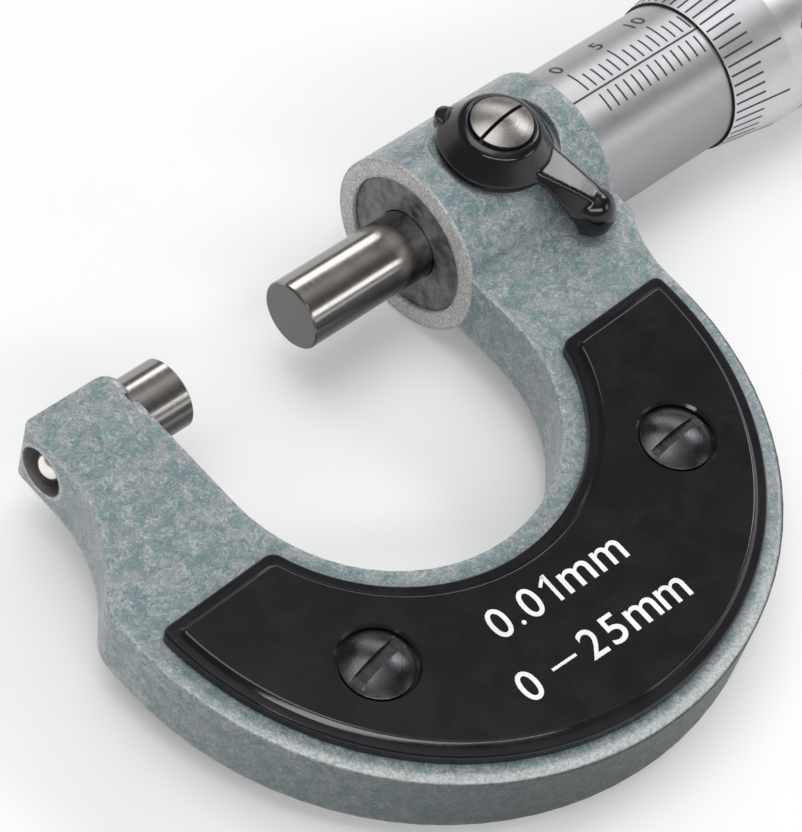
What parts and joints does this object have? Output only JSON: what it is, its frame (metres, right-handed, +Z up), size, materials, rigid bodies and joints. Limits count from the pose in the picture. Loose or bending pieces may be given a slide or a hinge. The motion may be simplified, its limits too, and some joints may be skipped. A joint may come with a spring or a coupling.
{
  "type": "outside micrometer",
  "caption": "Outside micrometer with a cast C frame, insulating plates, a graduated sleeve and thimble, a lever lock and a ratchet stop, for measuring thickness or diameter.",
  "frame": {"origin": "centre of the anvil's measuring face", "axes": "+X along the spindle from the anvil to the ratchet, +Z up from the bench, +Y from the bottom of the C frame to its open end; the micrometer lies on its back, turned 4.8 degrees about X to rest on its thimble and its back plate"},
  "size_m": [0.1359, 0.0568, 0.0198],
  "materials": {
    "hammered_paint": "hammertone grey-green paint",
    "black_plastic": "glossy black",
    "ground_steel": "ground and lapped",
    "satin_chrome": "satin chrome plate with engraved lines",
    "dark_steel": "plain turned, dark",
    "black_oxide": "black oxide",
    "bright_steel": "bright turned",
    "brass": "plain"
  },
  "bodies": {
    "frame_body": {"frame": "hammered_paint", "anvil": "ground_steel", "front_plate": "black_plastic", "back_plate": "black_plastic", "front_plate_screw_left": "black_oxide", "front_plate_screw_right": "black_oxide", "back_plate_screw_left": "black_oxide", "back_plate_screw_right": "black_oxide", "inner_sleeve": "dark_steel", "graduated_sleeve": "satin_chrome", "adjusting_nut": "dark_steel", "lock_washer": "bright_steel", "lock_shoe": "brass"},
    "lock": {"lock_lever": "black_plastic", "lock_stud": "bright_steel", "lock_screw": "bright_steel"},
    "spindle": {"spindle": "ground_steel"},
    "thimble": {"thimble": "satin_chrome", "ratchet_stem": "bright_steel", "ratchet_end_screw": "bright_steel"},
    "ratchet": {"ratchet_knob": "satin_chrome", "ratchet_clutch": "dark_steel", "ratchet_spring": "bright_steel"}
  },
  "joints": [
    {"name": "lever_swing", "type": "hinge", "parent": "frame_body", "child": "lock", "pos_m": [0.0352, 0, 0], "axis": [0, -0.0837, 0.9965], "range_deg": [-50, 3]},
    {"name": "spindle_feed", "type": "slide", "parent": "frame_body", "child": "spindle", "axis": [1, 0, 0], "range_m": [-0.01339, 0.0116]},
    {"name": "thimble_turn", "type": "hinge", "parent": "spindle", "child": "thimble", "pos_m": [0, 0, 0], "axis": [1, 0, 0], "range_deg": [-9645, 8355]},
    {"name": "ratchet_slip", "type": "hinge", "parent": "thimble", "child": "ratchet", "pos_m": [0.1, 0, 0], "axis": [1, 0, 0], "continuous": true}
  ],
  "couplings": [
    {"joint": "thimble_turn", "follows": "spindle_feed", "rad_per_m": 12566}
  ]
}
